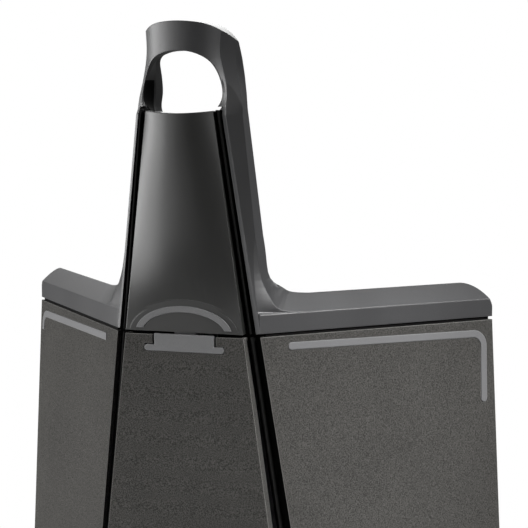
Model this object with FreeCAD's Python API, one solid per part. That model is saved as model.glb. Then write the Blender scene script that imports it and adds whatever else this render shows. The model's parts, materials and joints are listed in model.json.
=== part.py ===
"""Hand-operated trash compactor.

A half-hexagonal bin with a lid that carries a tall hollow column ending in a loop handle.
Lifting the loop raises the lid on a fixed mast; a pinion in the lid rolls on the mast rack
and drives the ram rod, so the press plate travels twice as far as the lid.

Working frame of every function: X right, Y back, Z up, millimetres, with the origin in the
middle of the front edge at the seam between bin and lid. `save` moves the finished pieces to
the export frame, whose origin is on the floor under the middle of the whole.
"""
import FreeCAD, Part
import math
import os

V = FreeCAD.Vector

# ---- overall ----------------------------------------------------------------------------
SEAM_HEIGHT = 520.0        # floor to the seam between bin and lid
DEPTH = 272.0              # front edge of the seam to the flat back
FACE_ANGLE = 48.0          # each side face turns this far from the front face, degrees
LOOP_TOP = 374.6           # seam to the top of the loop handle
FOOT_HEIGHT = 8.0

# ---- front face, grooves and rims (values at the seam, drafts per mm of height) ----------
PANEL_HALF = 76.2
PANEL_DRAFT = 0.1236
RIM_HALF = 92.5
RIM_DRAFT = 0.134
RIM_BACK = 14.0
RIM_LEAN = 0.08              # of the column; the bin leans a little more
BIN_LEAN = 0.095
FRONT_LEAN = 0.045
CORNER_R = 2.5
WALL = 4.0
SEAM_GAP = 4.3

# ---- lid --------------------------------------------------------------------------------
BAND_TOP = 24.8            # top of the vertical lower band of a wing
RIDGE_TOP = 46.2
RIDGE_INSET = 16.7
RIDGE_FOOT = 48.0          # inset where the rear slope of the ridge reaches the deck
DECK_TOP = 16.0
END_R = 44.0               # rounded far end of each wing
END_REACH = 345.0          # where that end meets the seam, along the side face
# stations of the blend at the foot of the column: height on the rim, then (along, inset,
# height) of the band edge and of the outer edge
BLEND_WING = [(21.0, (95.0, 0.7, 24.3), (95.0, 17.2, 45.4)),
              (25.0, (62.0, 0.0, 25.1), (70.0, 16.7, 46.7)),
              (32.0, (31.0, 0.0, 28.6), (50.0, 16.7, 49.6)),
              (44.0, (17.0, 1.6, 41.3), (39.0, 16.7, 55.8))]
BLEND_STEPS = 18
BLEND_COLUMN = [(66.0, 2.8, 2.6), (92.0, 0.9, 0.7), (128.0, -0.8, -0.8)]

# ---- column and loop --------------------------------------------------------------------
COVER_TOP = 271.5
SIDE_TOP = 264.0           # height where the straight column turns into the loop
COLUMN_DEPTH = 52.0
SPINE_HALF = 28.0
SPINE_BACK = 112.0
SPINE_TOP = 258.0
RIM_WALL = 3.6
NOSE_BULGE = 15.0          # convex front of the column, ahead of its rims
NOSE_FRONT = -20.0
# right-half plan points (front rim, side crease, rear edge) of the loop at each height
LOOP_SECTIONS = [
    (264.0, [(57.1, -7.1), (67.8, 23.0), (64.8, 52.0)]),
    (284.0, [(55.3, 0.8), (66.0, 24.0), (63.0, 52.0)]),
    (305.0, [(52.7, 4.4), (61.6, 26.0), (61.4, 51.0)]),
    (330.0, [(47.6, 2.5), (57.6, 28.0), (61.0, 41.5)]),
    (350.0, [(47.0, 2.0), (57.0, 27.0), (60.2, 37.5)]),
    (378.0, [(47.0, 2.0), (57.0, 27.0), (60.2, 37.5)])]
# half outline of the arched top (x, z) and profile of the curved back (y, z)
ARCH_POINTS = [(72.0, 240.0), (72.0, 305.0), (68.5, 325.0), (65.0, 338.0), (61.0, 347.0),
               (54.4, 357.0), (47.5, 363.8), (40.4, 368.2), (28.0, 372.2), (14.0, 374.0)]
BACK_POINTS = [(54.0, 262.0), (53.0, 280.0), (51.5, 299.0), (48.0, 315.0), (41.5, 330.0),
               (35.5, 345.0), (31.5, 360.0), (29.0, 379.0)]
# half outline of the finger hole (x, z) in front and behind
HOLE_FRONT = [(43.0, 268.0), (48.6, 275.5), (51.0, 284.8), (50.6, 293.2), (48.5, 303.3),
              (43.3, 317.5), (38.0, 325.9), (29.5, 332.8), (16.0, 338.0)]
HOLE_BACK = [(46.5, 266.5), (47.8, 275.0), (47.0, 285.0), (46.4, 296.7), (46.6, 306.0),
             (46.7, 318.0), (45.0, 329.4), (37.0, 336.6), (20.0, 340.2)]
HOLE_TOP = 339.8
HOLE_LOW = 263.5
# strips on the side faces
RIB_WIDTH = 9.0
RIB_HIGH = -10.5
RIB_DROP = 4.0               # the bar sinks this much towards the rear corner
RIB_END = 14.0
RIB_START_RIGHT = 39.0
RIB_START_LEFT = 44.0
RIB_FOOT_RIGHT = -108.0
RIB_FOOT_LEFT = -42.0
RIB_BEND_R = 12.0
RIB_PROUD = 0.9
RIB_SUNK = 1.2
# dark lining of the loop legs, on the walls of the finger hole
LINING = (1.0, 26.0, 262.0, 305.0)   # front, back, bottom, top
LINING_DEPTH = 1.4

# ---- press mechanism --------------------------------------------------------------------
LIFT = 195.0
MODULE = 2.2
PINION_TEETH = 16
ADDENDUM = 0.8 * MODULE
ROOT_CLEAR = 0.5
BACKLASH = 0.7
MAST_HALF = 10.0
MAST_FRONT = 30.0
MAST_BACK = 46.0
MAST_TOP = 240.0
PINION_Z = 30.0
TOOTH_WIDTH = 14.0
ROD_HALF = 8.0
ROD_DEPTH = 14.0
ROD_TOP = 54.0
RAM_Z = -225.0             # underside of the press plate with the lid closed
RAM_PLATE = 5.0
BRACKET_RISE = 24.0        # stays under the lid at full travel
ROLLER_R = 7.5
RUN_GAP = 0.3              # between moving curved faces
FIT = 0.05                 # radial clearance of running fits

# ---- liner ------------------------------------------------------------------------------
LINER_FRONT = 64.0
LINER_CLEAR = 0.8          # sideways gap to the groove trims
LINER_WALL = 2.0
LINER_TOP = -6.0

# latch: upper tab, lower bar and hinge pin
TAB_HALF = 38.5
BAR_HALF = 51.5
BAR_LOW = -22.3
BAR_TOP = -14.5
TAB_TOP = -0.8
PIN_Y = 7.6
PIN_Z = (BAR_LOW + BAR_TOP) / 2
PIN_R = 2.0

# arch at the foot of the column and the grip strip on it
ARCH_HALF = 74.5
ARCH_TOP = 42.3
GRIP_OUT = (62.5, 34.3)
GRIP_IN = (54.0, 26.6)
GRIP_LOW = 6.0

# axles of the carriage, inset of the press plate
AXLE_R = 4.0
ROLLER_AXLE_R = 3.0
ROLLER_Y = MAST_FRONT - ROLLER_R - RUN_GAP
ROLLER_HEIGHTS = (16.0, 48.0)
RAM_INSET = LINER_WALL + 5.0

# groove trims: how far they lap behind the front panel, and their rear face behind the rim
TRIM_LAP = 3.0
TRIM_BACK = 13.5

# derived
PITCH_R = MODULE * PINION_TEETH / 2
RACK_PITCH = math.pi * MODULE
MAST_PITCH_Y = MAST_BACK + ADDENDUM + ROOT_CLEAR
PINION_Y = MAST_PITCH_Y + PITCH_R
ROD_PITCH_Y = PINION_Y + PITCH_R
ROD_FRONT = ROD_PITCH_Y + ADDENDUM + ROOT_CLEAR
BOTTOM = FOOT_HEIGHT - SEAM_HEIGHT
TAN = math.tan(math.radians(FACE_ANGLE))
ALONG = V(math.cos(math.radians(FACE_ANGLE)), math.sin(math.radians(FACE_ANGLE)), 0)
INWARD = V(-ALONG.y, ALONG.x, 0)
FACE_LENGTH = (DEPTH - RIM_BACK) / ALONG.y
# the leaning trims pass the front of the liner this far below the seam, so it stays inside them
TRIM_CROSSING = (LINER_FRONT - RIM_BACK - TRIM_BACK) / BIN_LEAN
LINER_INSET = ALONG.y * (RIM_HALF + (LINER_FRONT - RIM_BACK) / TAN + LINER_CLEAR
                         - (PANEL_HALF - TRIM_LAP + PANEL_DRAFT * TRIM_CROSSING))


# ---- basic shapes -----------------------------------------------------------------------
def box(x0, x1, y0, y1, z0, z1):
    return Part.makeBox(x1 - x0, y1 - y0, z1 - z0, V(x0, y0, z0))


def closed(points):
    return Part.makePolygon(list(points) + [points[0]])


def prism_z(points, z0, z1):
    """Upright prism over plan points (x, y)."""
    face = Part.Face(closed([V(x, y, z0) for x, y in points]))
    return face.extrude(V(0, 0, z1 - z0))


def prism_y(points, y0, y1):
    """Prism along Y over elevation points (x, z)."""
    face = Part.Face(closed([V(x, y0, z) for x, z in points]))
    return face.extrude(V(0, y1 - y0, 0))


def ruled(points_at, z0, z1):
    """Straight-sided solid between the plan polygons points_at(z0) and points_at(z1)."""
    wires = [closed([V(x, y, z) for x, y in points_at(z)]) for z in (z0, z1)]
    return Part.makeLoft(wires, True, True)


def mirrored(shape):
    return shape.mirror(V(0, 0, 0), V(1, 0, 0))


def both(points):
    """Right-half points, front to back, closed into a symmetric outline."""
    return list(points) + [(-x, y) for x, y in reversed(points)]


def rod_x(x0, x1, y, z, r):
    return Part.makeCylinder(r, x1 - x0, V(x0, y, z), V(1, 0, 0))


def joined(shapes):
    return shapes[0].fuse(shapes[1:]).removeSplitter()


def side_by_side(shapes):
    return Part.makeCompound(shapes)


def leaned(shape):
    """Lean a piece built upright so that it follows the front face."""
    angle = math.degrees(math.atan(FRONT_LEAN))
    return shape.rotated(V(0, 0, 0), V(1, 0, 0), angle)


# ---- outline rules ----------------------------------------------------------------------
def panel_x(z):
    return PANEL_HALF - PANEL_DRAFT * z


def front_y(z):
    return -FRONT_LEAN * z


def rim_x(z):
    return RIM_HALF - RIM_DRAFT * z


def rim_y(z):
    return RIM_BACK - (RIM_LEAN if z > 0 else BIN_LEAN) * z


def corner_x(z):
    return rim_x(z) + (DEPTH - rim_y(z)) / TAN


def face_point(z, along, inset):
    """Plan point on the right side face: distance from the rim, then inwards."""
    start = V(rim_x(z), rim_y(z), 0)
    p = start + ALONG * along + INWARD * inset
    return p.x, p.y


def rounded_corner(z, inset, radius, steps=6):
    """Plan points of the rear corner, rounded between the side face and the back."""
    turn = 180.0 - FACE_ANGLE
    cx = corner_x(z) - (inset + radius) * (1 + ALONG.x) / ALONG.y
    cy = DEPTH - inset - radius
    start = FACE_ANGLE - 90.0
    angles = [math.radians(start + turn * i / steps) for i in range(steps + 1)]
    return [(cx + radius * math.cos(a), cy + radius * math.sin(a)) for a in angles]


def outline(z, inset=0.0):
    """Half outline of the whole footprint, offset inwards."""
    x = rim_x(z) - inset * (1 - ALONG.x) / ALONG.y
    return [(x, rim_y(z) + inset)] + rounded_corner(z, inset, max(CORNER_R - inset, 0.5))


# ---- bin --------------------------------------------------------------------------------
def side_panel():
    def section(z):
        inner = rounded_corner(z, WALL, 0.5)
        back_end = corner_x(z) - 46.0
        outer = [(rim_x(z), rim_y(z))] + rounded_corner(z, 0.0, CORNER_R)
        lip = [(rim_x(z) + 1.0, rim_y(z) + 10.0), (rim_x(z) - 1.6, rim_y(z) + 9.0)]
        turn = [face_point(z, 6.5, WALL)]
        return (outer + [(back_end, DEPTH), (back_end, DEPTH - WALL)]
                + inner[::-1] + turn + lip)
    return ruled(section, BOTTOM, -SEAM_GAP / 2)


def front_panel():
    def section(z):
        y = front_y(z)
        flange = 15.0
        return both([(panel_x(z), y), (panel_x(z) - 0.6, y + flange),
                     (panel_x(z) - 3.6, y + flange), (panel_x(z) - 4.2, y + WALL)])
    panel = ruled(section, BOTTOM, -SEAM_GAP / 2)
    window = leaned(box(-TAB_HALF - 2.8, TAB_HALF + 2.8, -5, 8, BAR_TOP, 5))
    slot = leaned(box(-BAR_HALF - 0.4, BAR_HALF + 0.4, -5, 8, BAR_LOW - 0.6, BAR_TOP + 1.1))
    return panel.cut([window, slot])


def back_panel():
    def section(z):
        x = corner_x(z) - 46.6
        return both([(x, DEPTH - WALL), (x, DEPTH)])
    return ruled(section, BOTTOM, -SEAM_GAP / 2)


def groove_trim(z0, z1, rim_gap):
    """Black channel between front panel and side face, with a thin bead along its floor."""
    def floor(z):
        y = rim_y(z) + TRIM_BACK
        inner = panel_x(z) - TRIM_LAP
        outer = rim_x(z) - rim_gap
        return [(inner, y - 3.0), (outer, y - 3.0), (outer, y), (inner, y)]

    def bead(z):
        x = panel_x(z) + 5.0
        y = rim_y(z) - 5.0
        return [(x, y), (x + 2.0, y), (x + 2.0, y + 16.0), (x, y + 16.0)]
    return joined([ruled(floor, z0, z1), ruled(bead, z0, z1)])


def rim_frame(trims):
    """Dark ring that closes the top of the bin walls and carries the liner."""
    def ring(inset_out, z0, z1):
        outer = prism_z(both(outline(-10.0, inset_out)), z0, z1)
        return outer.cut(prism_z(liner_outline(-0.6), z0 - 1, z1 + 1))
    cap = ring(3.5, -SEAM_GAP / 2, SEAM_GAP / 2 - 0.3)
    skirt = ring(WALL + 0.8, -20.0, -SEAM_GAP / 2)
    frame = cap.fuse(skirt)
    latch_room = box(-TAB_HALF - 4, TAB_HALF + 4, -20, 26, -40, 10)
    mast_room = box(-34, 34, 22, LINER_FRONT + 2, -40, 10)
    grooves = box(-RIM_HALF - 4, RIM_HALF + 4, -30, 27.5, -40, 10)
    return frame.cut([latch_room, mast_room, grooves] + trims).removeSplitter()


def liner_outline(inset):
    """Closed outline of the waste liner; a negative inset grows it."""
    y = LINER_FRONT + inset
    shift = (LINER_INSET + inset) / ALONG.y
    back = DEPTH - WALL - 6.0 - inset
    front_x = RIM_HALF + (y - RIM_BACK) / TAN - shift
    back_x = RIM_HALF + (back - RIM_BACK) / TAN - shift
    return both([(front_x, y), (back_x, back)])


def waste_liner():
    z0 = BOTTOM + 8.0
    outer = prism_z(liner_outline(0.0), z0, LINER_TOP)
    return outer.cut(prism_z(liner_outline(LINER_WALL), z0 + 2.5, LINER_TOP + 1))


def base_tray(neighbours):
    plate = prism_z(both(outline(BOTTOM + 4, WALL + 0.6)), BOTTOM, BOTTOM + 7.5)
    front = box(-panel_x(BOTTOM) + 5, panel_x(BOTTOM) - 5,
                front_y(BOTTOM) + WALL + 0.6, rim_y(BOTTOM) + 8, BOTTOM, BOTTOM + 7.5)
    return joined([plate, front]).cut(neighbours)


def rib_inlay(right):
    """L-shaped strip near the top of a side face, running down the rear corner."""
    far = FACE_LENGTH - RIB_END
    near = RIB_START_RIGHT if right else RIB_START_LEFT
    foot = RIB_FOOT_RIGHT if right else RIB_FOOT_LEFT
    high, drop = RIB_HIGH, RIB_DROP
    bend, tip = (far - RIB_WIDTH, high - drop - RIB_WIDTH), (far, high - drop)
    corners = [(near, high - RIB_WIDTH), bend, (bend[0], foot), (far, foot), tip, (near, high)]
    strip = prism_y(corners, -RIB_PROUD, RIB_SUNK)

    def edges_at(points):
        return [e for e in strip.Edges if e.BoundBox.YLength > RIB_PROUD
                and any(abs(e.BoundBox.XMin - x) < 0.01 and abs(e.BoundBox.ZMin - z) < 0.01
                        and e.BoundBox.ZLength < 0.01 for x, z in points)]
    strip = strip.makeFillet(RIB_BEND_R, edges_at([bend]))
    strip = strip.makeFillet(RIB_BEND_R + RIB_WIDTH, edges_at([tip]))
    if right:
        strip = strip.makeFillet(RIB_WIDTH / 2 - 0.3,
                                 edges_at([corners[0], corners[2], corners[3], corners[5]]))
    return strip


def on_side_face(strip, right):
    """Turn a strip drawn in the XZ plane onto the drafted side face."""
    drop = 100.0
    a = V(*face_point(0.0, 0, 0), 0)
    b = V(*face_point(-drop, 0, 0), -drop)
    along = V(ALONG)
    down = b - a
    down = down - along * down.dot(along)
    lean = math.degrees(math.atan2(down.dot(INWARD), drop))
    placed = strip.rotated(V(0, 0, 0), V(1, 0, 0), lean)
    placed = placed.rotated(V(0, 0, 0), V(0, 0, 1), FACE_ANGLE)
    placed = placed.translated(a)
    return placed if right else mirrored(placed)


def feet():
    spots = [(panel_x(BOTTOM) - 24, 58), (corner_x(BOTTOM) - 52, DEPTH - 26)]
    pads = []
    for x, y in spots:
        for sx in (x, -x):
            pads.append(Part.makeCone(13, 15, FOOT_HEIGHT, V(sx, y, -SEAM_HEIGHT)))
    return side_by_side(pads)


# ---- latch ------------------------------------------------------------------------------


def latch_lever():
    tab = box(-TAB_HALF, TAB_HALF, -0.8, 3.2, BAR_TOP - 1.0, TAB_TOP)
    bar = box(-BAR_HALF, BAR_HALF, -0.8, 3.2, BAR_LOW, BAR_TOP)
    ends = [e for e in bar.Edges if e.BoundBox.YLength > 3]
    bar = bar.makeFillet(3.8, ends)
    arm = box(-14, 14, 5.0, 8.0, BAR_TOP, 12.0)
    bridge = box(-14, 14, 2.2, 8.0, BAR_TOP - 2, BAR_TOP + 5)
    lugs = [box(x, x + 5, 2.2, PIN_Y + 4, PIN_Z - 3.5, PIN_Z + 3.5) for x in (-30, 25)]
    lever = joined([tab, bar, arm, bridge] + lugs)
    return leaned(lever.cut(rod_x(-40, 40, PIN_Y, PIN_Z, PIN_R + FIT)))


def latch_bracket():
    """Two cheeks behind the front panel that hold the ends of the latch pin."""
    cheeks = [box(x, x + 4, WALL + 0.0, PIN_Y + 5, -32, PIN_Z + 5) for x in (-38, 34)]
    web = box(-38, 38, WALL + 0.0, WALL + 2.5, -34, -25.5)
    bracket = joined(cheeks + [web])
    return leaned(bracket.cut(rod_x(-50, 50, PIN_Y, PIN_Z, PIN_R)))


def latch_pin():
    return leaned(rod_x(-38, 38, PIN_Y, PIN_Z, PIN_R))


def latch_spring():
    helix = Part.makeHelix(1.6, 8.0, PIN_R + 1.2)
    start = V(PIN_R + 1.2, 0, 0)
    ring = Part.Wire(Part.makeCircle(0.55, start, V(0, 1, 0)))
    coil = Part.Wire(helix.Edges).makePipeShell([ring], True, True)
    coil = coil.rotated(V(0, 0, 0), V(0, 1, 0), 90).translated(V(15.4, PIN_Y, PIN_Z))
    return leaned(coil)


# ---- lid --------------------------------------------------------------------------------
def end_profile(t):
    """Space under the rounded far end of the right wing, seen square to the side face."""
    end = END_REACH - t
    radius = END_R - t
    top = RIDGE_TOP - t + 0.01
    low = -20.0
    bend = radius * (1 - math.sqrt(0.5))
    arc = Part.Arc(V(end, -60, top - radius), V(end - bend, -60, top - bend),
                   V(end - radius, -60, top))
    path = [V(end - radius, -60, top), V(-FACE_LENGTH * 3, -60, top),
            V(-FACE_LENGTH * 3, -60, low), V(end, -60, low), V(end, -60, top - radius)]
    wire = Part.Wire([arc.toShape()] + list(Part.makePolygon(path).Edges))
    return on_side(Part.Face(wire).extrude(V(0, FACE_LENGTH * 3, 0)))


def on_side(shape):
    """From face axes (along, inwards, up) to the right side face."""
    turned = shape.rotated(V(0, 0, 0), V(0, 0, 1), FACE_ANGLE)
    return turned.translated(V(RIM_HALF, RIM_BACK, 0))


def wing(t):
    """Right wing of the lid, all faces moved inwards by t."""
    z0 = SEAM_GAP / 2 if t == 0 else -5.0
    section = [(t, z0), (t, BAND_TOP - 0.35 * t), (RIDGE_INSET + 0.1 * t, RIDGE_TOP - 1.3 * t),
               (RIDGE_FOOT, DECK_TOP - t), (RIDGE_FOOT, z0)]
    bar = Part.Face(closed([V(-12, i, z) for i, z in section]))
    return on_side(bar.extrude(V(FACE_LENGTH + 30, 0, 0)))


def side_point(along, inset, z):
    p = V(RIM_HALF, RIM_BACK, z) + ALONG * along + INWARD * inset
    return V(p.x, p.y, z)


def foot_blend():
    """Blend that carries band and bevel of a wing up into the side of the column.

    Each station joins a point just inside the column rim, one on the edge between band and
    bevel, one on the outer edge and one inside the body. The first and the last station lie
    a little below the surfaces they join.
    """
    stations = []
    for rim, band, outer in BLEND_WING:
        a = V(rim_x(rim) - 0.5, rim_y(rim) + 1.5, rim)
        b, c = side_point(*band), side_point(*outer)
        stations.append([a, b, c, a + (c - b)])
    for z, band_out, outer_out in BLEND_COLUMN:
        crease, rear = column_section(z)[1:]
        stations.append([V(rim_x(z) - 0.5, rim_y(z) + 1.5, z),
                         V(crease[0] + band_out, crease[1], z),
                         V(rear[0] + outer_out, rear[1] - 0.5, z),
                         V(crease[0] - 14.0, rear[1] - 12.0, z)])
    rails = []
    for corner in zip(*stations):
        rail = Part.BSplineCurve()
        rail.interpolate(Points=list(corner), Parameters=[float(k) for k in range(len(corner))])
        rails.append(rail)
    count = BLEND_STEPS
    steps = [(len(stations) - 1) * k / count for k in range(count + 1)]
    return Part.makeLoft([closed([rail.value(s) for rail in rails]) for s in steps], True, True)


def column_section(z):
    """Right-half plan points of the column: front rim, side crease, rear edge."""
    s = z / SIDE_TOP
    if z <= SIDE_TOP:
        return [(rim_x(z), rim_y(z)), (96.3 - 28.5 * s, 23.0),
                (98.0 - 33.2 * s, COLUMN_DEPTH + 2 - 2 * s)]
    for (z0, low), (z1, high) in zip(LOOP_SECTIONS, LOOP_SECTIONS[1:]):
        if z <= z1:
            break
    s = (z - z0) / (z1 - z0)
    return [(a[0] + (b[0] - a[0]) * s, a[1] + (b[1] - a[1]) * s)
            for a, b in zip(low, high)]


def column_outer():
    def wire(z):
        pts = [V(x, y, z) for x, y in column_section(z)]
        left = [V(-p.x, p.y, p.z) for p in pts]
        nose = V(0, min(pts[0].y - NOSE_BULGE, NOSE_FRONT), z)
        arc = Part.Arc(left[0], nose, pts[0]).toShape()
        rest = Part.makePolygon([pts[0], pts[1], pts[2], left[2], left[1], left[0]])
        return Part.Wire([arc] + list(rest.Edges))
    lower = Part.makeLoft([wire(SEAM_GAP / 2), wire(SIDE_TOP)], True, True)
    upper = Part.makeLoft([wire(z) for z, _ in LOOP_SECTIONS], True, False)
    return lower.fuse(upper.common(loop_arch()).common(loop_back()))


def loop_arch():
    """Space under the arched top of the loop, seen from the front."""
    half = [V(-x, -60, z) for x, z in ARCH_POINTS]
    right = [V(-p.x, p.y, p.z) for p in reversed(half)]
    curve = Part.BSplineCurve()
    curve.interpolate(half[1:] + [V(0, -60, LOOP_TOP)] + right[:-1])
    ends = [half[1], half[0], right[-1], right[-2]]
    face = Part.Face(Part.Wire([curve.toShape()] + list(Part.makePolygon(ends).Edges)))
    return face.extrude(V(0, 140, 0))


def loop_back():
    """Space in front of the curved back of the loop, seen from the side."""
    curve = Part.BSplineCurve()
    back = [V(-96, y, z) for y, z in BACK_POINTS]
    curve.interpolate(back)
    ends = [back[-1], V(-96, -60, back[-1].z), V(-96, -60, back[0].z), back[0]]
    face = Part.Face(Part.Wire([curve.toShape()] + list(Part.makePolygon(ends).Edges)))
    return face.extrude(V(192, 0, 0))


def column_inner():
    def section(z):
        rim, crease, rear = column_section(z)
        x = rim[0] - RIM_WALL
        return both([(x, -80.0), (x, rim[1] + 8), (crease[0] - 5.5, crease[1] + 3),
                     (rear[0] - 4.5, COLUMN_DEPTH - 4)])
    return ruled(section, -5.0, SIDE_TOP - 6)


def hand_opening(grow=0.0):
    """Finger hole: arched in front, squarer behind, with a sagging lower edge."""
    def face(y, side_points):
        side = [V(-x - grow, y, z) for x, z in side_points]
        right = [V(-p.x, p.y, p.z) for p in reversed(side)]
        top = V(0, y, HOLE_TOP + grow)
        curve = Part.BSplineCurve()
        curve.interpolate(side + [top] + right)
        sag = Part.Arc(right[-1], V(0, y, HOLE_LOW), side[0]).toShape()
        return Part.Wire([curve.toShape(), sag])
    front, back = 7.0, 30.0
    room = Part.Face(face(-60.0, HOLE_FRONT)).extrude(V(0, 60.0 + front, 0))
    middle = Part.makeLoft([face(front, HOLE_FRONT), face(back, HOLE_BACK)], True, True)
    rear = Part.Face(face(back, HOLE_BACK)).extrude(V(0, 60.0, 0))
    return [room, middle, rear]


def leg_lining(shell):
    """Dark linings let into the hole walls of both loop legs, right one first."""
    front, back, low, high = LINING
    grown = joined(hand_opening(LINING_DEPTH)).common(shell)
    right = grown.common(box(30.0, 70.0, front, back, low, high))
    return [right, mirrored(right)]


def spine(t):
    top = SPINE_TOP - t
    solid = box(-SPINE_HALF + t, SPINE_HALF - t, COLUMN_DEPTH - 10, SPINE_BACK - t,
                SEAM_GAP / 2 if t == 0 else -5.0, top)
    if t == 0:
        edges = [e for e in solid.Edges if e.BoundBox.YMin > SPINE_BACK - 0.1
                 and e.BoundBox.ZMax > 100]
        solid = solid.makeFillet(12.0, edges)
    return solid


def lid_plan(t):
    z0 = SEAM_GAP / 2 if t == 0 else -5.0
    plan = prism_z(both(outline(0.0, t)), z0, RIDGE_TOP + 1)
    end = end_profile(t)
    return plan.common(end).common(mirrored(end)), z0


def groove_room():
    """Space the black column channels take beside the cover, up to the hand opening."""
    def section(z):
        return [(panel_x(z) - 4.0, -80.0), (rim_x(z) - RIM_WALL, -80.0),
                (rim_x(z) - RIM_WALL, rim_y(z) + 14.0), (panel_x(z) - 4.0, rim_y(z) + 14.0)]
    return ruled(section, SIDE_TOP - 12, COVER_TOP + 2)


def lid_shell():
    plan, z0 = lid_plan(0)
    deck = prism_z(both(outline(0.0, 0.0)), z0, DECK_TOP)
    wings = wing(0)
    outer = deck.fuse([wings, mirrored(wings)]).common(plan)
    blend = foot_blend()
    outer = outer.fuse([blend, mirrored(blend), column_outer(), spine(0)])
    plan_in, z1 = lid_plan(WALL)
    deck_in = prism_z(both(outline(0.0, WALL)), z1, DECK_TOP - WALL)
    wings_in = wing(WALL)
    inner = deck_in.fuse([wings_in, mirrored(wings_in)]).common(plan_in)
    shell = outer.cut([inner, column_inner(), spine(WALL)] + hand_opening())
    room = groove_room()
    shell = shell.cut([cover_blank()[0], room, mirrored(room)])
    solids = sorted(shell.Solids, key=lambda s: -s.Volume)
    return solids[0].removeSplitter()


def cover_blank():
    """Solid barrel of the front cover and the same barrel inset by the wall."""
    levels = [SEAM_GAP / 2, 42.0, 75.0, 110.0, 190.0, COVER_TOP + 1]
    bulges = [0.6, 2.6, 10.0, 15.0, 16.5, 15.5]

    def wire(z, bulge, t):
        x = panel_x(z) - t
        y = front_y(z)
        deep = y + (17.0 if t == 0 else 40.0)
        arc = Part.Arc(V(-x, y + t, z), V(0, y - bulge + t, z), V(x, y + t, z)).toShape()
        rest = Part.makePolygon([V(x, y + t, z), V(x - 0.6, deep, z), V(-x + 0.6, deep, z),
                                 V(-x, y + t, z)])
        return Part.Wire([arc] + list(rest.Edges))
    outer = Part.makeLoft([wire(z, b, 0) for z, b in zip(levels, bulges)], True, False)
    levels[0] -= 2
    levels[-1] += 2
    inner = Part.makeLoft([wire(z, b, 3.4) for z, b in zip(levels, bulges)], True, False)
    return outer, inner


def column_cover():
    outer, inner = cover_blank()
    cover = outer.cut(inner)
    sag = Part.Arc(V(-60, -60, COVER_TOP), V(0, -60, COVER_TOP - 5.5),
                   V(60, -60, COVER_TOP)).toShape()
    lid = Part.makePolygon([V(60, -60, COVER_TOP), V(60, -60, 300), V(-60, -60, 300),
                            V(-60, -60, COVER_TOP)])
    cut = Part.Face(Part.Wire([sag] + list(lid.Edges))).extrude(V(0, 120, 0))
    facet = leaned(arch_plate(ARCH_HALF, ARCH_TOP, -20.0, -0.2))
    plate = leaned(arch_plate(ARCH_HALF - 4, ARCH_TOP - 4, -0.2, 3.4))
    plate = plate.common(box(-90, 90, -30, 40, SEAM_GAP / 2, 60))
    cover = cover.cut([cut, facet]).fuse(plate)
    solids = sorted(cover.Solids, key=lambda s: -s.Volume)
    return solids[0].removeSplitter()


def arch_plate(half, top, y0, y1):
    """Flat half-ellipse standing on the seam."""
    ellipse = Part.Ellipse(V(0, 0, 0), half, top)
    arc = ellipse.toShape(0, math.pi)
    face = Part.Face(Part.Wire([arc, Part.makeLine(V(-half, 0, 0), V(half, 0, 0))]))
    solid = face.extrude(V(0, 0, y1 - y0))
    return solid.rotated(V(0, 0, 0), V(1, 0, 0), 90).translated(V(0, y1, 0))


def arc_grip():
    strip = arch_plate(GRIP_OUT[0], GRIP_OUT[1], -1.4, -0.2)
    strip = strip.cut(arch_plate(GRIP_IN[0], GRIP_IN[1], -5.0, 5.0))
    strip = strip.common(box(-90, 90, -10, 10, GRIP_LOW, 60))
    return leaned(strip)


def lid_underplate():
    plate = prism_z(both(outline(0.0, WALL + 0.8)), SEAM_GAP / 2 + 0.4, SEAM_GAP / 2 + 3.4)
    front = box(-RIM_HALF - 20, RIM_HALF + 20, -20, 27.5, 0, 20)
    room = box(-22, 22, 10, 112, 0, 20)
    return plate.cut([front, room])


def carriage():
    """Two cheeks that carry pinion and guide rollers, joined by a frame on the underplate."""
    z0 = SEAM_GAP / 2 + 3.4
    y0, y1 = ROLLER_Y - 6.5, ROD_FRONT + ROD_DEPTH + 3.0
    cheeks = [box(x, x + 6.0, y0, y1, z0, 60.0) for x in (12.0, -18.0)]
    flanges = [box(x, x + 14.0, 30.0, y1, z0, z0 + 4.0) for x in (18.0, -32.0)]
    tie = box(-18, 18, ROD_FRONT + ROD_DEPTH + RUN_GAP, y1, z0, 60.0)
    frame = joined(cheeks + flanges + [tie])
    holes = [rod_x(-20, 20, PINION_Y, PINION_Z, AXLE_R)]
    holes += [rod_x(-20, 20, ROLLER_Y, z, ROLLER_AXLE_R) for z in ROLLER_HEIGHTS]
    return frame.cut(holes)


def pinion():
    """Involute spur pinion with stub teeth; a tooth points at each rack."""
    rb = PITCH_R * math.cos(math.radians(20))
    tip = PITCH_R + ADDENDUM
    root = PITCH_R - ADDENDUM - ROOT_CLEAR
    inv = math.tan(math.radians(20)) - math.radians(20)
    half = (RACK_PITCH / 2 - BACKLASH / 2) / 2 / PITCH_R

    def flank(r):
        angle = math.acos(min(1.0, rb / r))
        return half + inv - (math.tan(angle) - angle)
    radii = [rb + (tip - rb) * i / 4 for i in range(5)]
    side = [(root, flank(rb))] + [(r, flank(r)) for r in radii]
    points = []
    for k in range(PINION_TEETH):
        mid = 2 * math.pi * k / PINION_TEETH
        points += [(r, mid - a) for r, a in side] + [(r, mid + a) for r, a in reversed(side)]
    ring = [V(-TOOTH_WIDTH / 2, PINION_Y + r * math.cos(a), PINION_Z + r * math.sin(a))
            for r, a in points]
    gear = Part.Face(closed(ring)).extrude(V(TOOTH_WIDTH, 0, 0))
    hub = rod_x(-11.0, 11.0, PINION_Y, PINION_Z, 9.0)
    return gear.fuse(hub).cut(rod_x(-20, 20, PINION_Y, PINION_Z, AXLE_R + FIT))


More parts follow.
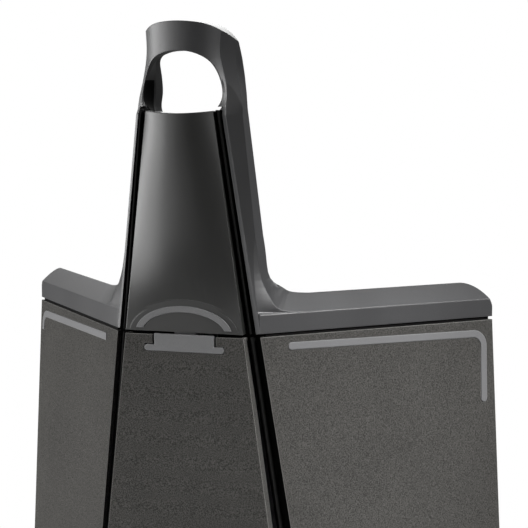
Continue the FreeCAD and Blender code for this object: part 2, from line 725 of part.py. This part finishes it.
def rack(pitch_y, facing, z0, z1, back_y, half_width):
    """Toothed bar; `facing` is +1 when the teeth point backwards, -1 forwards."""
    slope = math.tan(math.radians(20))
    tooth = RACK_PITCH / 2 - BACKLASH / 2
    root = -(ADDENDUM + ROOT_CLEAR)
    profile = [(back_y, z0), (pitch_y + facing * root, z0)]
    k = math.ceil((z0 + 4 - PINION_Z) / RACK_PITCH)
    z = PINION_Z + (k + 0.5) * RACK_PITCH
    while z < z1 - 4:
        for h in (root, ADDENDUM):
            profile.append((pitch_y + facing * h, z - tooth / 2 + slope * h))
        for h in (ADDENDUM, root):
            profile.append((pitch_y + facing * h, z + tooth / 2 - slope * h))
        z += RACK_PITCH
    profile += [(pitch_y + facing * root, z1), (back_y, z1)]
    face = Part.Face(closed([V(-half_width, y, zz) for y, zz in profile]))
    return face.extrude(V(2 * half_width, 0, 0))


def mast():
    return box(-MAST_HALF, MAST_HALF, MAST_FRONT, MAST_BACK - 4.0, BOTTOM + 12.0, MAST_TOP)


def mast_rack():
    return rack(MAST_PITCH_Y, 1, 8.0, MAST_TOP - 4.0, MAST_BACK - 4.0, TOOTH_WIDTH / 2)


def mast_socket():
    outer = box(-22, 22, MAST_FRONT - 1.5, MAST_BACK + 8, BOTTOM + 7.5, BOTTOM + 90)
    foot = box(-40, 40, MAST_FRONT - 1.5, MAST_BACK + 14, BOTTOM + 7.5, BOTTOM + 12)
    hole = box(-MAST_HALF, MAST_HALF, MAST_FRONT, MAST_BACK - 4.0, BOTTOM + 12.0, BOTTOM + 95)
    return joined([outer, foot]).cut(hole)


def mast_stay():
    """Upper bracket that ties the mast to the front panel flanges just below the latch."""
    x = panel_x(-60) - 5.0
    bar = box(-x, x, front_y(-60) + 12.5, MAST_FRONT, -64.0, -52.0)
    clamp = box(-16, 16, MAST_FRONT - 2, MAST_BACK, -66.0, -50.0)
    return joined([bar, clamp]).cut(
        box(-MAST_HALF, MAST_HALF, MAST_FRONT, MAST_BACK + 2, -70, -40))


def ram_rod():
    return rack(ROD_PITCH_Y, -1, RAM_Z + RAM_PLATE + 12, ROD_TOP, ROD_FRONT + ROD_DEPTH,
                TOOTH_WIDTH / 2)


def guide_bush():
    z0 = SEAM_GAP / 2
    y0, y1 = ROD_PITCH_Y - ADDENDUM - 1.2, ROD_FRONT + ROD_DEPTH
    hw = TOOTH_WIDTH / 2
    block = box(-12, 12, y0 - 4, y1 + RUN_GAP, z0, z0 + 6)
    return block.cut(box(-hw - RUN_GAP, hw + RUN_GAP, y0, y1 + 5, -5, 20))


def ram_plate():
    plate = prism_z(liner_outline(RAM_INSET), RAM_Z, RAM_Z + RAM_PLATE)
    lip = prism_z(liner_outline(RAM_INSET), RAM_Z + RAM_PLATE, RAM_Z + RAM_PLATE + 14)
    lip = lip.cut(prism_z(liner_outline(RAM_INSET + 3.0), RAM_Z, RAM_Z + 40))
    bars = [box(-230, 230, 130, 133, RAM_Z + RAM_PLATE, RAM_Z + RAM_PLATE + 10)]
    bars += [box(x, x + 3, 74, 250, RAM_Z + RAM_PLATE, RAM_Z + RAM_PLATE + 10)
             for x in (-60, 57)]
    ribs = [b.common(prism_z(liner_outline(RAM_INSET), RAM_Z, RAM_Z + 40)) for b in bars]
    return joined([plate, lip] + ribs)


def ram_wiper():
    outer = prism_z(liner_outline(RAM_INSET - 2.5), RAM_Z - 2.0, RAM_Z)
    return outer.cut(prism_z(liner_outline(RAM_INSET + 8), RAM_Z - 5, RAM_Z + 5))


def ram_bracket():
    y1 = ROD_FRONT + ROD_DEPTH
    z0 = RAM_Z + RAM_PLATE
    foot = box(-24, 24, ROD_FRONT - 8, y1 + 14, z0, z0 + 4)
    top = z0 + BRACKET_RISE
    cheeks = [box(x, x + 4, ROD_FRONT + 0.5, y1 + 6, z0, top) for x in (7.0, -11.0)]
    back = box(-11, 11, y1, y1 + 6, z0, top)
    seat = box(-11, 11, ROD_FRONT + 0.5, y1 + 6, z0, RAM_Z + RAM_PLATE + 12)
    return joined([foot, back, seat] + cheeks)


def save(pieces):
    """Write every piece with the origin under the middle of the whole, on the floor."""
    os.makedirs("parts", exist_ok=True)
    whole = side_by_side(list(pieces.values())).optimalBoundingBox(False)
    to_floor = V(0, -(whole.YMin + whole.YMax) / 2, SEAM_HEIGHT)
    for name, shape in pieces.items():
        shape.translated(to_floor).exportStep("parts/%s.step" % name)


def build():
    pieces = {}
    side = side_panel()
    rib_right = on_side_face(rib_inlay(True), True)
    rib_left = on_side_face(rib_inlay(False), False)
    trim_low = groove_trim(BOTTOM, -SEAM_GAP / 2, 1.9)
    trim_high = groove_trim(SEAM_GAP / 2, COVER_TOP - 2.0, RIM_WALL)
    trim_high = trim_high.cut(cover_blank()[0])
    trims = [trim_low, mirrored(trim_low)]
    pieces["base_tray"] = base_tray(trims + [side, mirrored(side)])
    pieces["side_panel_right"] = side.cut(rib_right)
    pieces["side_panel_left"] = mirrored(side).cut(rib_left)
    pieces["rib_inlay_right"] = rib_right
    pieces["rib_inlay_left"] = rib_left
    pieces["front_panel"] = front_panel()
    pieces["back_panel"] = back_panel()
    pieces["groove_trim_right"] = trim_low
    pieces["groove_trim_left"] = mirrored(trim_low)
    pieces["rim_frame"] = rim_frame(trims)
    pieces["waste_liner"] = waste_liner()
    pieces["feet"] = feet()
    pieces["latch_lever"] = latch_lever()
    pieces["latch_bracket"] = latch_bracket()
    pieces["latch_pin"] = latch_pin()
    pieces["latch_spring"] = latch_spring()
    shell = lid_shell()
    lining = leg_lining(shell)
    pieces["lid_shell"] = shell.cut(lining)
    pieces["loop_lining_right"], pieces["loop_lining_left"] = lining
    cover = column_cover()
    grip = arc_grip()
    pieces["column_cover"] = cover
    pieces["arc_grip"] = grip
    pieces["column_trim_right"] = trim_high
    pieces["column_trim_left"] = mirrored(trim_high)
    pieces["lid_underplate"] = lid_underplate()
    pieces["carriage"] = carriage()
    pieces["pinion_axle"] = rod_x(-18, 18, PINION_Y, PINION_Z, AXLE_R)
    pieces["roller_axles"] = side_by_side(
        [rod_x(-18, 18, ROLLER_Y, z, ROLLER_AXLE_R) for z in ROLLER_HEIGHTS])
    pieces["pinion"] = pinion()
    for name, z in zip(("roller_lower", "roller_upper"), ROLLER_HEIGHTS):
        wheel = rod_x(-11, 11, ROLLER_Y, z, ROLLER_R)
        pieces[name] = wheel.cut(rod_x(-20, 20, ROLLER_Y, z, ROLLER_AXLE_R + FIT))
    pieces["mast"] = mast()
    pieces["mast_rack"] = mast_rack()
    pieces["mast_socket"] = mast_socket()
    pieces["mast_stay"] = mast_stay()
    pieces["ram_rod"] = ram_rod()
    pieces["guide_bush"] = guide_bush()
    pieces["ram_bracket"] = ram_bracket()
    pieces["ram_plate"] = ram_plate()
    pieces["ram_wiper"] = ram_wiper()
    return pieces


save(build())
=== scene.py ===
"""Looks of the hand-operated trash compactor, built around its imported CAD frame."""
import json
import math

import bpy
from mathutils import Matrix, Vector


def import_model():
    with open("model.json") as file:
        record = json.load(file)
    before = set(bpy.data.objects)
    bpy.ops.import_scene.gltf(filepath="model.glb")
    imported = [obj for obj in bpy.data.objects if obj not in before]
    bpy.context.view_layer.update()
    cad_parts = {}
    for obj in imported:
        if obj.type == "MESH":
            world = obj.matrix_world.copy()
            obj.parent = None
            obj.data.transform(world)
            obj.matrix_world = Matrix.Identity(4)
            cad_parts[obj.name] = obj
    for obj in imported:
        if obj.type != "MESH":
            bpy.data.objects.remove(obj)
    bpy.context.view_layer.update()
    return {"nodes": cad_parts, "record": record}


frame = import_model()
nodes = frame["nodes"]

# ---- colours (linear) and surface finishes --------------------------------------------------
FINISHES = {
    # slot: colour, roughness, specular level, grain per metre, grain depth, blotches, painted
    # edge highlight
    "charcoal_body": dict(color=(0.036, 0.035, 0.033), rough=0.78, specular=0.03, grain=760,
                          depth=1.00, blotch=0.08, edge=0.90),
    # the lid finish also paints shade onto the column flanks, at 0.35 of its colour
    "charcoal_lid": dict(color=(0.022, 0.022, 0.023), rough=0.40, specular=0.56, grain=900,
                         depth=0.20, blotch=0.08, edge=0.40, flank_shade_level=0.35),
    "satin_cover": dict(color=(0.009, 0.009, 0.0085), rough=0.36, grain=1000, depth=0.12,
                        blotch=0.06, edge=0.40),
    "black_channel": dict(color=(0.0015, 0.0015, 0.0015), rough=0.75, specular=0.08, grain=1200,
                          depth=0.15, blotch=0.05, edge=0.10),
    "grey_inlay": dict(color=(0.082, 0.082, 0.084), rough=0.58, specular=0.35, grain=1300,
                       depth=0.15, blotch=0.06, edge=0.20),
    "dark_inner": dict(color=(0.020, 0.020, 0.020), rough=0.55, grain=900, depth=0.30,
                       blotch=0.08, edge=0.20),
    "liner": dict(color=(0.110, 0.112, 0.115), rough=0.42, grain=700, depth=0.25,
                  blotch=0.10, edge=0.15),
    "rubber_feet": dict(color=(0.010, 0.010, 0.010), rough=0.75, grain=600, depth=0.5,
                        blotch=0.15, edge=0.10),
    "rubber_wiper": dict(color=(0.012, 0.012, 0.012), rough=0.70, grain=600, depth=0.4,
                         blotch=0.15, edge=0.10),
    "steel": dict(color=(0.42, 0.42, 0.43), rough=0.30, grain=500, depth=0.10,
                  blotch=0.12, edge=0.15, metal=1.0),
    "acetal": dict(color=(0.62, 0.62, 0.59), rough=0.38, grain=900, depth=0.10,
                   blotch=0.04, edge=0.05),
}
EDGE_RADIUS = 0.0018         # rounding that the shading gives every edge
EDGE_GAIN, EDGE_BASE = 3.0, 0.05   # painted edge highlight colour: gain on the base colour, plus a little grey
HIGHLIGHT_FROM, HIGHLIGHT_TO = 0.995, 0.80   # cosine between rounded and flat normal: no painted highlight, full painted highlight
GRAIN_HEIGHT = 0.00012
GRAIN_SPREAD = 0.15          # noise this far either side of its middle reaches full grain
BLOTCHES = 9.0               # broad noise per metre, for tone and gloss
GLOSS_SWING = 0.06
# painted shade on the arch-topped flanks of the column: front rim, top and fall of the arch,
# height of the faded foot
RIM_Y = -0.117
ARCH_Z = 0.822
ARCH_FALL = 75.0
ARCH_BLUR = 0.002
FOOT_Z = 0.560
FOOT_BLUR = 0.07
FLANK_NORMAL_Y, FLANK_NORMAL_SLACK = -0.36, 0.20
FLANK_NORMAL_X = 0.80


def link(tree, a, b):
    tree.links.new(a, b)


def column_flank_painted_shade(tree, where, normal, level):
    """Painted shade factor: level on the arch-topped flanks of the column, 1 elsewhere."""
    def node(operation, *inputs):
        made = tree.nodes.new("ShaderNodeMath")
        made.operation = operation
        for socket, value in zip(made.inputs, inputs):
            if isinstance(value, float):
                socket.default_value = value
            else:
                link(tree, value, socket)
        return made.outputs["Value"]

    def fade(value, start, end):
        made = tree.nodes.new("ShaderNodeMapRange")
        made.interpolation_type = "SMOOTHSTEP"
        made.inputs["From Min"].default_value = start
        made.inputs["From Max"].default_value = end
        link(tree, value, made.inputs["Value"])
        return made.outputs["Result"]

    spot = tree.nodes.new("ShaderNodeSeparateXYZ")
    link(tree, where, spot.inputs["Vector"])
    facing = tree.nodes.new("ShaderNodeSeparateXYZ")
    link(tree, normal, facing.inputs["Vector"])
    aside = node("COMPARE", facing.outputs["Y"], FLANK_NORMAL_Y, FLANK_NORMAL_SLACK)
    sideways = node("GREATER_THAN", node("ABSOLUTE", facing.outputs["X"]), FLANK_NORMAL_X)
    back = node("ADD", spot.outputs["Y"], -RIM_Y)
    sag = node("MULTIPLY", node("MULTIPLY", back, back), -ARCH_FALL)
    under_arch = fade(node("SUBTRACT", spot.outputs["Z"], sag), ARCH_Z,
                      ARCH_Z - ARCH_BLUR)
    above_foot = fade(spot.outputs["Z"], FOOT_Z, FOOT_Z + FOOT_BLUR)
    mask = node("MULTIPLY", node("MULTIPLY", aside, sideways),
                node("MULTIPLY", under_arch, above_foot))
    return node("SUBTRACT", 1.0, node("MULTIPLY", mask, 1.0 - level))


def plastic(name, color, rough, grain, depth, blotch, edge, metal=0.0, specular=0.5,
            flank_shade_level=None):
    """Moulded surface: fine grain, faint blotches in gloss and tone, edges lightened by a painted
    highlight.
    """
    mat = bpy.data.materials.new(name)
    mat.use_nodes = True
    tree = mat.node_tree
    new = tree.nodes.new
    shader = tree.nodes["Principled BSDF"]
    shader.inputs["Metallic"].default_value = metal
    shader.inputs["Specular IOR Level"].default_value = specular
    where = new("ShaderNodeTexCoord").outputs["Object"]

    fine = new("ShaderNodeTexNoise")
    fine.inputs["Scale"].default_value = grain
    fine.inputs["Detail"].default_value = 2.0
    broad = new("ShaderNodeTexNoise")
    broad.inputs["Scale"].default_value = BLOTCHES
    broad.inputs["Detail"].default_value = 4.0
    for noise in (fine, broad):
        link(tree, where, noise.inputs["Vector"])

    tone = new("ShaderNodeValToRGB")
    low, high = tone.color_ramp.elements
    low.position, high.position = 0.3, 0.7
    low.color = [c * (1 - blotch) for c in color] + [1]
    high.color = [c * (1 + blotch) for c in color] + [1]
    link(tree, broad.outputs["Fac"], tone.inputs["Fac"])

    speck = new("ShaderNodeMapRange")
    speck.inputs["From Min"].default_value = 0.5 - GRAIN_SPREAD
    speck.inputs["From Max"].default_value = 0.5 + GRAIN_SPREAD
    speck.inputs["To Min"].default_value = 1 - 0.5 * depth
    speck.inputs["To Max"].default_value = 1 + 0.5 * depth
    link(tree, fine.outputs["Fac"], speck.inputs["Value"])
    grained = new("ShaderNodeVectorMath")
    grained.operation = "SCALE"
    link(tree, tone.outputs["Color"], grained.inputs["Vector"])
    link(tree, speck.outputs["Result"], grained.inputs["Scale"])

    soft = new("ShaderNodeBevel")
    soft.samples = 4
    soft.inputs["Radius"].default_value = EDGE_RADIUS
    geometry = new("ShaderNodeNewGeometry")
    bend = new("ShaderNodeVectorMath")
    bend.operation = "DOT_PRODUCT"
    link(tree, soft.outputs["Normal"], bend.inputs[0])
    link(tree, geometry.outputs["Normal"], bend.inputs[1])
    # painted highlight: the colour is lightened towards a brighter grey where the rounded normal
    # bends away at edges
    painted_edge_highlight = new("ShaderNodeMapRange")
    painted_edge_highlight.inputs["From Min"].default_value = HIGHLIGHT_FROM
    painted_edge_highlight.inputs["From Max"].default_value = HIGHLIGHT_TO
    painted_edge_highlight.inputs["To Max"].default_value = edge
    link(tree, bend.outputs["Value"], painted_edge_highlight.inputs["Value"])
    with_edge_highlight = new("ShaderNodeMix")
    with_edge_highlight.data_type = "RGBA"
    with_edge_highlight.inputs["B"].default_value = [
        min(1, c * EDGE_GAIN + EDGE_BASE) for c in color] + [1]
    link(tree, painted_edge_highlight.outputs["Result"], with_edge_highlight.inputs["Factor"])
    link(tree, grained.outputs["Vector"], with_edge_highlight.inputs["A"])
    link(tree, with_edge_highlight.outputs["Result"], shader.inputs["Base Color"])

    # painted shade: the base colour is darkened on the arch-topped flanks of the column
    if flank_shade_level is not None:
        flank_shaded = new("ShaderNodeVectorMath")
        flank_shaded.operation = "SCALE"
        link(tree, with_edge_highlight.outputs["Result"], flank_shaded.inputs["Vector"])
        link(tree, column_flank_painted_shade(tree, where, geometry.outputs["Normal"], flank_shade_level),
             flank_shaded.inputs["Scale"])
        link(tree, flank_shaded.outputs["Vector"], shader.inputs["Base Color"])

    gloss = new("ShaderNodeMapRange")
    gloss.inputs["To Min"].default_value = rough - GLOSS_SWING
    gloss.inputs["To Max"].default_value = rough + GLOSS_SWING
    link(tree, broad.outputs["Fac"], gloss.inputs["Value"])
    link(tree, gloss.outputs["Result"], shader.inputs["Roughness"])

    bump = new("ShaderNodeBump")
    bump.inputs["Strength"].default_value = depth
    bump.inputs["Distance"].default_value = GRAIN_HEIGHT
    link(tree, fine.outputs["Fac"], bump.inputs["Height"])
    link(tree, soft.outputs["Normal"], bump.inputs["Normal"])
    link(tree, bump.outputs["Normal"], shader.inputs["Normal"])
    return mat


materials = {slot: plastic(slot, **finish) for slot, finish in FINISHES.items()}
for part in frame["record"]["subparts"]:
    piece = nodes[part["node"]]
    piece.data.materials.clear()
    piece.data.materials.append(materials[part["material_slot"]])

# ---- studio ---------------------------------------------------------------------------------
FLOOR_RADIUS = 0.75
FLOOR_DROP = 0.0005          # keeps the floor just under the feet
FLOOR_COLOR = (0.82, 0.82, 0.81, 1)
WORLD_WHITE = 1.0
WORLD_FILL = 0.14
MIDDLE = Vector((0, 0, 0.60))
KEY_TARGET = Vector((0.1, 0, 0.24))
# azimuth and elevation in degrees, height in metres, power in watts
FRONT_LEFT_BOXES = [(-80, -3, 2.0, 32.0), (-55, -1, 1.8, 18.0),
                    (-31, 6, 1.3, 4.2), (-9, 6, 1.3, 1.6)]
LENS, SENSOR = 118.9, 36.0   # millimetres
EYE = (0.7701, -2.0621, 0.8172)
EYE_YAW, EYE_PITCH = 18.98, 5.81   # degrees, to the left and down


def floor():
    bpy.ops.mesh.primitive_circle_add(vertices=96, radius=FLOOR_RADIUS, fill_type="NGON",
                                      location=(0, 0, -FLOOR_DROP))
    disc = bpy.context.object
    disc.name = "studio_floor"
    mat = bpy.data.materials.new("studio_floor")
    mat.use_nodes = True
    shader = mat.node_tree.nodes["Principled BSDF"]
    shader.inputs["Base Color"].default_value = FLOOR_COLOR
    shader.inputs["Roughness"].default_value = 0.6
    disc.data.materials.append(mat)


def world():
    """White behind the object, dim grey light from it onto the object."""
    scene_world = bpy.data.worlds.new("studio")
    bpy.context.scene.world = scene_world
    scene_world.use_nodes = True
    tree = scene_world.node_tree
    tree.nodes.clear()
    seen = tree.nodes.new("ShaderNodeBackground")
    light = tree.nodes.new("ShaderNodeBackground")
    for background, strength in ((seen, WORLD_WHITE), (light, WORLD_FILL)):
        background.inputs["Strength"].default_value = strength
        background.inputs["Color"].default_value = (1, 1, 1, 1)
    path = tree.nodes.new("ShaderNodeLightPath")
    mix = tree.nodes.new("ShaderNodeMixShader")
    out = tree.nodes.new("ShaderNodeOutputWorld")
    link(tree, path.outputs["Is Camera Ray"], mix.inputs["Fac"])
    link(tree, light.outputs["Background"], mix.inputs[1])
    link(tree, seen.outputs["Background"], mix.inputs[2])
    link(tree, mix.outputs["Shader"], out.inputs["Surface"])


def softbox(name, azimuth, elevation, distance, width, height, watts, target, spread=180):
    """Area light round the target; azimuth 0 stands in front, positive to the right."""
    az, el = math.radians(azimuth), math.radians(elevation)
    offset = Vector((math.sin(az) * math.cos(el), -math.cos(az) * math.cos(el), math.sin(el)))
    data = bpy.data.lights.new(name, "AREA")
    data.shape = "RECTANGLE"
    data.size, data.size_y = width, height
    data.energy = watts
    data.spread = math.radians(spread)
    lamp = bpy.data.objects.new(name, data)
    lamp.location = target + offset * distance
    lamp.rotation_euler = (-offset).to_track_quat("-Z", "Y").to_euler()
    bpy.context.scene.collection.objects.link(lamp)


def camera():
    """Viewpoint right of centre, slightly above the lid, with a long lens."""
    data = bpy.data.cameras.new("camera")
    data.lens = LENS
    data.sensor_width = SENSOR
    eye = bpy.data.objects.new("camera", data)
    eye.location = EYE
    eye.rotation_euler = (math.radians(90 - EYE_PITCH), 0, math.radians(EYE_YAW))
    bpy.context.scene.collection.objects.link(eye)
    bpy.context.scene.camera = eye


floor()
world()
for azimuth, elevation, height, watts in FRONT_LEFT_BOXES:
    softbox("front_left_box", azimuth, elevation, 1.6, 0.66, height, watts, MIDDLE)
softbox("left_back_box", -128, 24, 1.7, 0.8, 0.7, 3.6, MIDDLE)
softbox("rear_box", 190, 32, 2.2, 1.6, 1.2, 26.0, MIDDLE)
softbox("key_box", 71, 37, 1.8, 0.6, 0.6, 5.9, KEY_TARGET, spread=42)
camera()
bpy.context.scene.view_settings.view_transform = "Standard"
